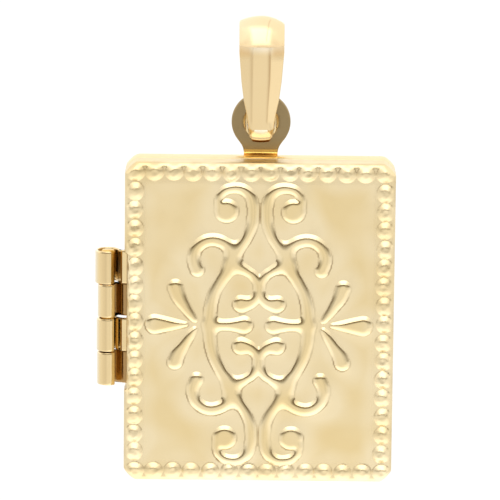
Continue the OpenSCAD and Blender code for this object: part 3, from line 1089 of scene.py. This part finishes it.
bail = Builder()
rings, crease, satin, pale = zip(*(
    strap_ring(row, mean_tilt(bail_line, i)) for i, row in enumerate(bail_line)))
bail.rings(rings, closed=True, crease=sum(crease, []), satin=sum(satin, []), pale=sum(pale, []))
bail.make("bail_strap", bail_gold, "bail", "bail_gold", ("bail",), sharp=30)


# Stage: a floor of glowing paint below the locket.

FLOOR_GAP = 40.0
FLOOR_HALF = 3000.0
FLOOR_GREY = (0.30, 0.30, 0.30, 1)
FLOOR_LIGHT = (1.0, 0.995, 0.985, 1)
FLOOR_GLOW = 0.62


def in_degrees(n, radians):
    """Node output of an angle turned from radians to degrees."""
    return n.math("MULTIPLY", radians, 180 / math.pi)


def floor_paint():
    """Grey paint that glows: painted light pools below the locket and before it at the right, painted
    shadow lies in two arches and far off.
    """
    material = bpy.data.materials.new("floor_paint")
    material.use_nodes = True
    n = Nodes(material.node_tree)
    shader = material.node_tree.nodes["Principled BSDF"]
    shader.inputs["Base Color"].default_value = FLOOR_GREY
    shader.inputs["Roughness"].default_value = 0.9
    shader.inputs["Specular IOR Level"].default_value = 0.0
    shader.inputs["Emission Color"].default_value = FLOOR_LIGHT
    split = n.new("ShaderNodeSeparateXYZ")
    n.link(n.new("ShaderNodeTexCoord").outputs["Object"], split.inputs[0])
    to_right, to_back = split.outputs[:2]
    to_front = n.math("MULTIPLY", to_back, -1.0)
    distance = n.math("SQRT", n.math("ADD", n.math("POWER", to_right, 2.0),
                                     n.math("POWER", to_back, 2.0)))
    azimuth = in_degrees(n, n.math("ABSOLUTE", n.math("ARCTAN2", to_right, to_front)))
    # Painted light below the locket and before it at the right.
    near_glow = n.ramp(distance, 0.015, 0.1, 0.8, 0.0)
    before = n.math("MULTIPLY", n.ramp(to_back, -0.06, -0.03, 1.0, 0.0),
                    n.ramp(distance, 0.12, 0.19, 1.0, 0.0))
    side_glow = n.math("MULTIPLY", n.ramp(to_right, -0.02, 0.04, 0.02, 0.22), before)
    # Painted shadow in two arches either side of straight ahead and far off, where the floor is in view.
    arch = n.math("MULTIPLY", n.ramp(azimuth, 7.0, 14.0), n.ramp(azimuth, 22.0, 34.0, 1.0, 0.0))
    far_off = n.ramp(distance, 0.35, 1.4)
    in_view = n.math("MULTIPLY", n.ramp(distance, 0.15, 0.2), n.ramp(azimuth, 60.0, 80.0, 1.0, 0.0))
    shadow = n.math("ADD", n.math("MULTIPLY", arch, 0.1), n.math("MULTIPLY", far_off, 0.3))
    glow = n.math("SUBTRACT", n.math("ADD", near_glow, side_glow),
                  n.math("MULTIPLY", shadow, in_view))
    n.link(n.math("ADD", glow, FLOOR_GLOW), shader.inputs["Emission Strength"])
    return material


floor_z = float(front_low[2]) - FLOOR_GAP
floor_mesh = bpy.data.meshes.new("floor")
floor_mesh.from_pydata(
    [(sx * FLOOR_HALF * MM, sy * FLOOR_HALF * MM, floor_z * MM)
     for sx, sy in ((-1, -1), (1, -1), (1, 1), (-1, 1))], [], [(0, 1, 2, 3)])
floor_mesh.materials.append(floor_paint())
floor = bpy.data.objects.new("floor", floor_mesh)
bpy.context.scene.collection.objects.link(floor)


# World: a pale studio with a soft box above the front and dark tones low in front.

PALE = (1.0, 0.985, 0.96)
# The light's colour in front at rises in degrees above the level, from TONES_FROM to TONES_TO.
TONES = [
    (-20, PALE), (-6, (0.93, 0.92, 0.90)), (2, (0.64, 0.63, 0.59)), (9, (0.36, 0.32, 0.25)),
    (15, (0.16, 0.12, 0.07)), (20, (0.12, 0.085, 0.04)), (22.5, PALE),
]
TONES_FROM, TONES_TO = -30, 30


def studio_light(world):
    """Sets the world's colour and strength by direction."""
    world.use_nodes = True
    n = Nodes(world.node_tree)
    background = world.node_tree.nodes["Background"]
    split = n.new("ShaderNodeSeparateXYZ")
    n.link(n.new("ShaderNodeTexCoord").outputs["Generated"], split.inputs[0])
    to_right, to_back, to_up = split.outputs
    lateral = in_degrees(n, n.math("ABSOLUTE", n.math("ARCSINE", to_right)))
    rise = in_degrees(n, n.math("ARCTAN2", to_up, n.math("MULTIPLY", to_back, -1.0)))
    past_box = n.math("SUBTRACT", lateral, n.ramp(rise, 22.0, 60.0, 15.0, 25.0))
    core = n.ramp(past_box, -3.0, 9.0, 0.85, 0.0)
    wing = n.ramp(past_box, 5.0, 34.0, 0.4, 0.0)
    in_box_height = n.math("MULTIPLY", n.ramp(rise, 20.0, 23.0), n.ramp(rise, 66.0, 84.0, 1.0, 0.0))
    soft_box = n.math("MULTIPLY", n.math("ADD", core, wing), in_box_height)
    behind = n.ramp(to_back, -0.5, -0.1, 0.0, 0.38)
    level = n.math("ADD", n.math("ADD", 1.0, soft_box), behind)
    n.link(level, background.inputs["Strength"])

    tones = n.new("ShaderNodeValToRGB")
    tones.color_ramp.interpolation = "EASE"
    while len(tones.color_ramp.elements) < len(TONES):
        tones.color_ramp.elements.new(0.5)
    for element, (angle, colour) in zip(tones.color_ramp.elements, TONES):
        element.position = (angle - TONES_FROM) / (TONES_TO - TONES_FROM)
        element.color = (*colour, 1)
    n.link(n.math("DIVIDE", n.math("SUBTRACT", rise, TONES_FROM), TONES_TO - TONES_FROM), tones.inputs[0])
    in_front = n.ramp(lateral, 45.0, 75.0, 1.0, 0.0)
    n.link(n.mix(in_front, PALE, tones.outputs[0]), background.inputs["Color"])


bpy.context.scene.world = bpy.data.worlds.new("soft_studio")
studio_light(bpy.context.scene.world)


# Camera.

CAM_RISE = 12.4
CAM_FAR = 320.0
CAM_ROLL = 0.6
VIEW_WIDE = 33.6
AIM = (-0.65, 0.0, -15.71)
SENSOR = 36.0

camera_data = bpy.data.cameras.new("camera")
camera_data.sensor_width = SENSOR
camera_data.lens = SENSOR * CAM_FAR / VIEW_WIDE
camera_data.clip_start, camera_data.clip_end = 0.01, 20.0
camera = bpy.data.objects.new("camera", camera_data)
bpy.context.scene.collection.objects.link(camera)
rise_angle = math.radians(CAM_RISE)
back_way = Vector((0, -math.cos(rise_angle), math.sin(rise_angle)))
turn = back_way.to_track_quat("Z", "Y").to_matrix() @ Matrix.Rotation(math.radians(CAM_ROLL), 3, "Z")
camera.matrix_world = Matrix.Translation((Vector(AIM) + back_way * CAM_FAR) * MM) @ turn.to_4x4()
bpy.context.scene.camera = camera
bpy.context.scene.view_settings.view_transform = "Standard"
bpy.context.scene.view_settings.look = "None"
